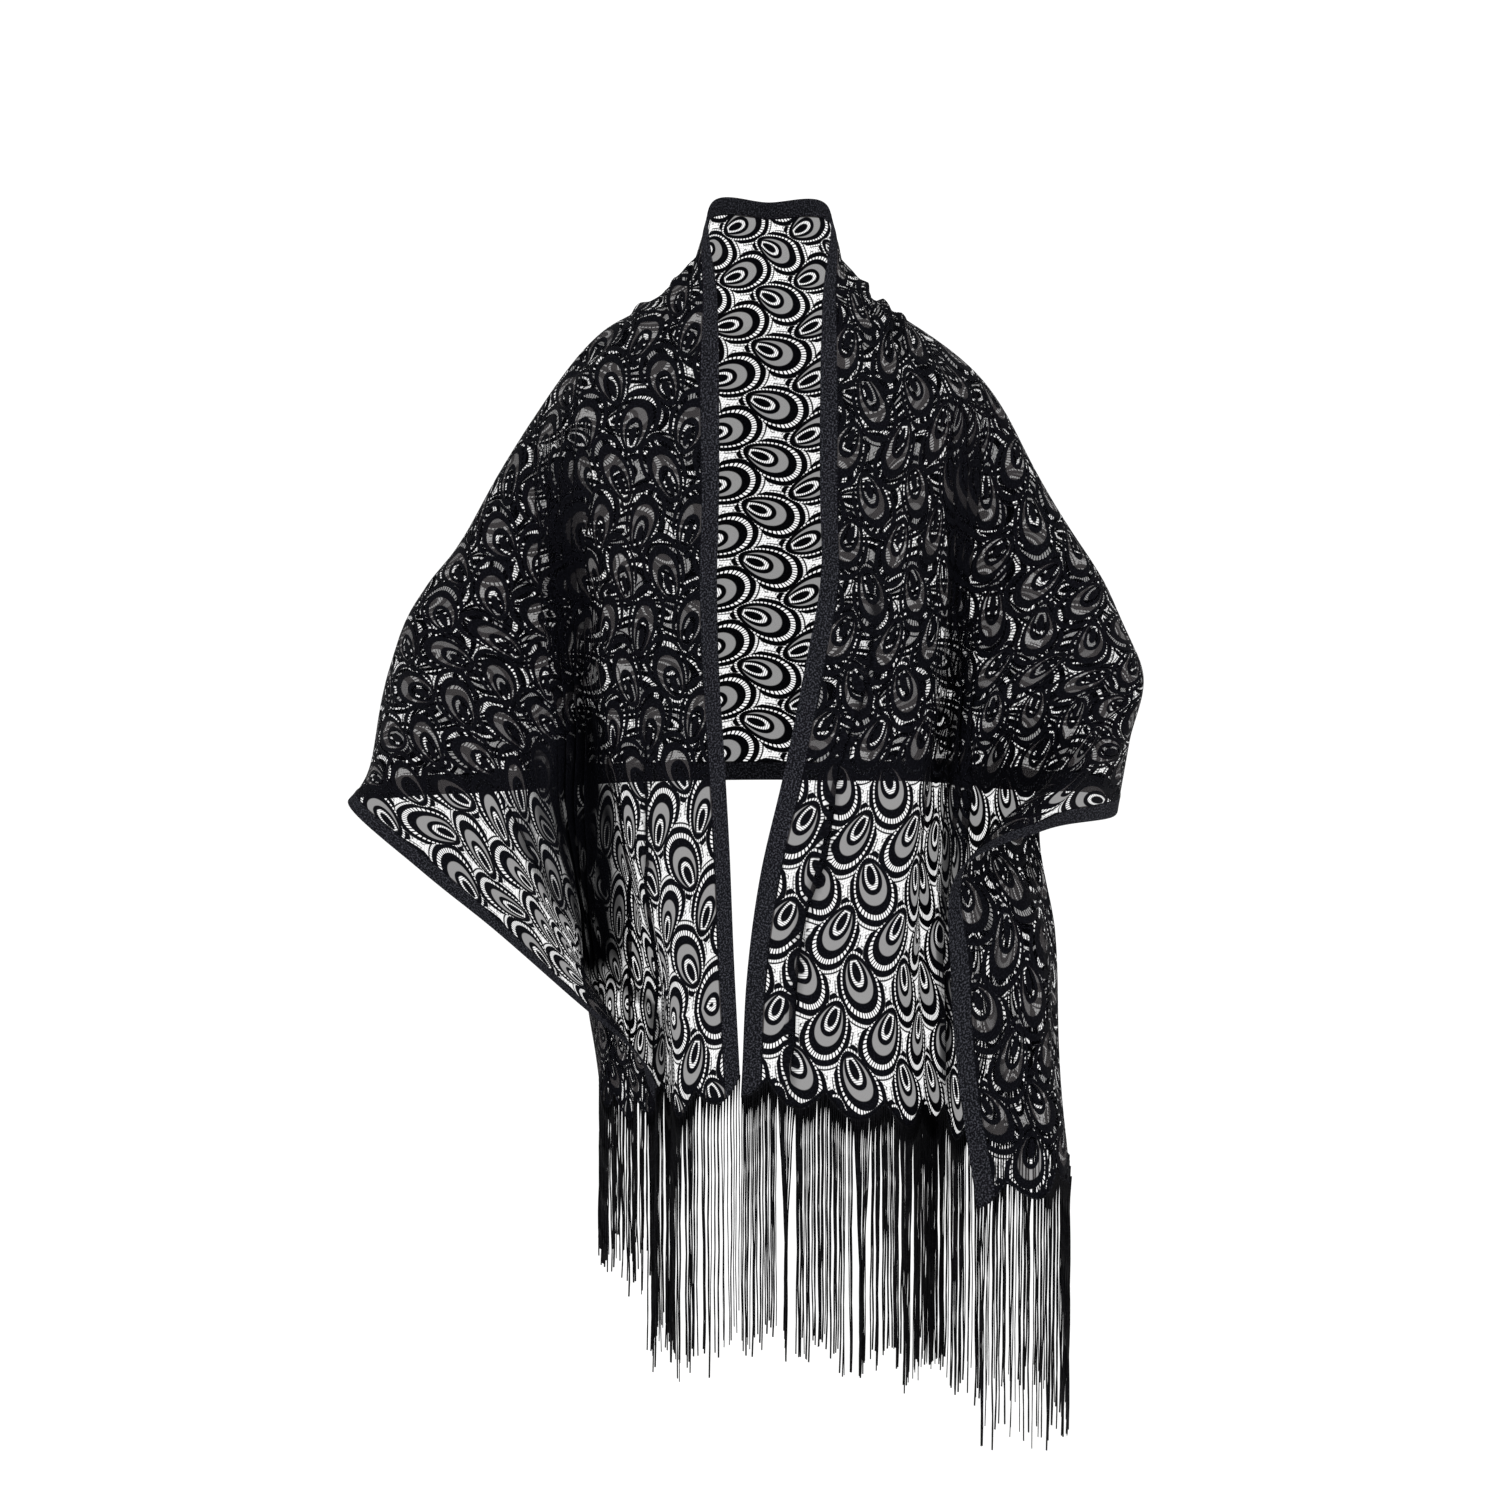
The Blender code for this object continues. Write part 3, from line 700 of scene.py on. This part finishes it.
def edgeBand(name, fromAcross):
    us = alongPlaces()
    profile = edgeShape["profile"]
    loop = profile + [(share, -rise) for share, rise in reversed(profile)]
    n, m = len(us), len(loop)
    u = np.repeat(us, m)
    v = np.tile([fromAcross + share * shawl["band"] for share, rise in loop], n)
    rise = np.tile([rise for share, rise in loop], n) * edgeShape["thick"]
    u = scalloped(u, v)
    points, out = pointsPastEnd(u, v)
    points = points + out * rise[:, None]
    faces = []
    for i in range(n - 1):
        for j in range(m):
            k = (j + 1) % m
            faces.append((i * m + j, (i + 1) * m + j, (i + 1) * m + k, i * m + k))
    faces.append(tuple(range(m)))
    faces.append(tuple(reversed(range((n - 1) * m, n * m))))
    return makePiece(name, points, faces, bandMat, np.stack((u, v), axis=1))


neckBand = edgeBand("neckBandKnit", 0.0)
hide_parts("neck_band")
hemBand = edgeBand("hemBandKnit", shawl["width"] - shawl["band"])
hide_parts("hem_band")
print("lace shawl: edge bands")

fringe = {
    "length": 0.250,
    "uneven": 0.035,
    "shortSide": (0.190, 0.560, 0.69),  # from and to across, and the share of the length left there
    "thick": 0.0010,
    "thickShares": (0.7, 1.0, 1.25),
    "swell": ((0, 0.04, 0.06, 1), (2.0, 1.9, 1.0, 0.85)),  # thicker at the knot
    "jitter": 0.0004,
    "sway": 0.0012,
    "segments": 12,
    "seed": 7,
}


def tubeMesh(paths, radii, sides=3):
    verts = []
    faces = []
    uvs = []
    for path, radius in zip(paths, radii):
        count = len(path)
        base = len(verts)
        run = 0.0
        for i, point in enumerate(path):
            ahead = path[min(i + 1, count - 1)] - path[max(i - 1, 0)]
            ahead = ahead / np.linalg.norm(ahead)
            side = np.cross(ahead, (0.0, 1.0, 0.001))
            side = side / np.linalg.norm(side)
            up = np.cross(side, ahead)
            if i:
                run += np.linalg.norm(point - path[i - 1])
            for k in range(sides):
                angle = 2 * math.pi * k / sides + 0.6 * i
                verts.append(point + radius[i] * (side * math.cos(angle) + up * math.sin(angle)))
                uvs.append((run, k * 0.0008))
        for i in range(count - 1):
            here, there = base + i * sides, base + (i + 1) * sides
            for k in range(sides):
                q = (k + 1) % sides
                faces.append((here + k, here + q, there + q, there + k))
        faces.append(tuple(base + k for k in reversed(range(sides))))
        faces.append(tuple(base + (count - 1) * sides + k for k in range(sides)))
    return verts, faces, uvs


# where the threads of an end are drawn together: side, place across in mm, reach in mm, pull
bunchTable = (
    (-1, 8, 5, 0.5),
    (-1, 60, 12, 0.3),
    (-1, 120, 14, 0.85),
    (-1, 146, 11, 0.7),
    (-1, 250, 9, 0.5),
    (-1, 330, 12, 0.5),
    (-1, 430, 10, 0.4),
    (-1, 575, 14, 0.5),
    (1, 42, 8, 0.9),
    (1, 112, 8, 0.7),
    (1, 160, 10, 0.3),
    (1, 236, 12, 0.9),
    (1, 320, 12, 0.5),
    (1, 410, 12, 0.4),
    (1, 500, 10, 0.5),
    (1, 592, 8, 0.8),
)

# how close the threads stand: side, from and to across in mm, spacing in mm
densityTable = (
    (-1, 0, 190, 3.7),
    (-1, 190, 560, 6.4),
    (-1, 560, 600, 3.2),
    (1, 0, 250, 1.8),
    (1, 250, 480, 4.0),
    (1, 480, 600, 3.8),
)


def fringeThreads(name, side):
    rng = np.random.default_rng(fringe["seed"] + side)
    v = np.concatenate([np.arange(start, stop, step) for where, start, stop, step in densityTable if where == side])
    v = (v + 0.8) / 1000
    count = len(v)
    v = np.clip(v + rng.uniform(-fringe["jitter"], fringe["jitter"], count), 0.001, shawl["width"] - 0.001)
    u = scalloped(np.full(count, side * shawl["halfLength"]), v)
    roots, out = pointsPastEnd(u - side * 0.002, v)
    targets = {}
    for where, across, reach, pull in bunchTable:
        if where == side:
            near = np.abs(v * 1000 - across) < reach
            middle = roots[near].mean(axis=0)
            for k in np.nonzero(near)[0]:
                targets[k] = (middle, pull)
    paths = []
    radii = []
    t = np.linspace(0, 1, fringe["segments"] + 1)
    for k in range(count):
        length = fringe["length"] * (1 + rng.normal(0, fringe["uneven"]) + 0.02 * math.sin(k * 0.13 + side))
        start, stop, share = fringe["shortSide"]
        if side < 0 and start < v[k] < stop:
            length *= share + rng.normal(0, 0.02)
        sway = rng.normal(0, fringe["sway"], 2)
        phase = rng.uniform(0, 6.28, 2)
        path = roots[k] + np.outer(t, (0, 0, -length))
        path[:, 0] += sway[0] * t + 0.0007 * np.sin(t * 7 + phase[0]) * t
        path[:, 1] += sway[1] * t + 0.0011 * np.sin(t * 6 + phase[1]) * t
        if k in targets:
            middle, pull = targets[k]
            gather = np.clip(t * 1.8, 0, 1) * pull
            path[:, 0] += (middle[0] - roots[k][0]) * gather
            path[:, 1] += (middle[1] - roots[k][1]) * gather
        paths.append(path)
        thick = fringe["thick"] * rng.choice(fringe["thickShares"])
        radii.append(thick * np.interp(t, *fringe["swell"]))
    verts, faces, uvs = tubeMesh(paths, radii)
    return makePiece(name, verts, faces, yarnMat, uvs)


threadsLeft = fringeThreads("fringeThreadsLeft", -1)
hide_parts("fringe_left")
threadsRight = fringeThreads("fringeThreadsRight", 1)
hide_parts("fringe_right")


# the beaded rim along the scallops of each end
rimCord = {"places": 441, "inset": 0.0006, "radius": 0.0009, "bead": 0.18}


def endCord(name, side):
    v = np.linspace(0.0005, shawl["width"] - 0.0005, rimCord["places"])
    u = scalloped(np.full(len(v), side * shawl["halfLength"]), v)
    points, out = pointsPastEnd(u - side * rimCord["inset"], v)
    bead = rimCord["radius"] * (1 + rimCord["bead"] * np.sin(np.arange(len(v)) * 1.9))
    verts, faces, uvs = tubeMesh([points], [bead], sides=5)
    return makePiece(name, verts, faces, bandMat, uvs)


cords = [endCord("endCordLeft", -1), endCord("endCordRight", 1)]
print("lace shawl: fringe")

# studio
studio = {"floor": -1.42, "reach": 30.0, "white": 0.93, "world": 1.12, "key": 60, "fill": 30}


def studioFloor():
    reach = studio["reach"]
    corners = ((-reach, -reach), (reach, -reach), (reach, reach), (-reach, reach))
    verts = [(x, y, studio["floor"]) for x, y in corners]
    mesh = bpy.data.meshes.new("studioFloor")
    mesh.from_pydata(verts, [], [(0, 1, 2, 3)])
    material = bpy.data.materials.new("studioWhite")
    material.use_nodes = True
    shader = material.node_tree.nodes["Principled BSDF"]
    shader.inputs["Base Color"].default_value = (studio["white"],) * 3 + (1.0,)
    shader.inputs["Roughness"].default_value = 0.95
    mesh.materials.append(material)
    floor = bpy.data.objects.new("studioFloor", mesh)
    bpy.context.scene.collection.objects.link(floor)


def areaLight(name, size, power, place, aim):
    data = bpy.data.lights.new(name, "AREA")
    data.shape = "SQUARE"
    data.size = size
    data.energy = power
    lamp = bpy.data.objects.new(name, data)
    lamp.location = place
    lamp.rotation_mode = "QUATERNION"
    lamp.rotation_quaternion = (Vector(aim) - Vector(place)).to_track_quat("-Z", "Y")
    bpy.context.scene.collection.objects.link(lamp)


studioFloor()
areaLight("keyLight", 1.6, studio["key"], (-1.6, -3.0, 1.6), (0, 0, -0.4))
areaLight("fillLight", 2.0, studio["fill"], (2.2, -2.6, 0.4), (0, 0, -0.5))
world = bpy.data.worlds.new("studioWorld")
bpy.context.scene.world = world
world.use_nodes = True
world.node_tree.nodes["Background"].inputs[0].default_value = (1.0, 1.0, 1.0, 1.0)
world.node_tree.nodes["Background"].inputs[1].default_value = studio["world"]
bpy.context.scene.view_settings.view_transform = "Standard"

# camera: a long lens from a little above, as in the photograph
view = {"aim": (-0.018, 0.0, -0.45), "away": 5.0, "above": 7.5, "half": 0.75}


def addCamera():
    data = bpy.data.cameras.new("shawlCamera")
    data.sensor_width = 36.0
    data.lens = 18.0 * view["away"] / view["half"]
    data.clip_end = 60.0
    camera = bpy.data.objects.new("shawlCamera", data)
    a = math.radians(view["above"])
    aim = Vector(view["aim"])
    camera.location = aim + Vector((0, -math.cos(a), math.sin(a))) * view["away"]
    camera.rotation_mode = "QUATERNION"
    camera.rotation_quaternion = (aim - camera.location).to_track_quat("-Z", "Y")
    bpy.context.scene.collection.objects.link(camera)
    bpy.context.scene.camera = camera


addCamera()
bpy.context.scene.cycles.transparent_max_bounces = 32
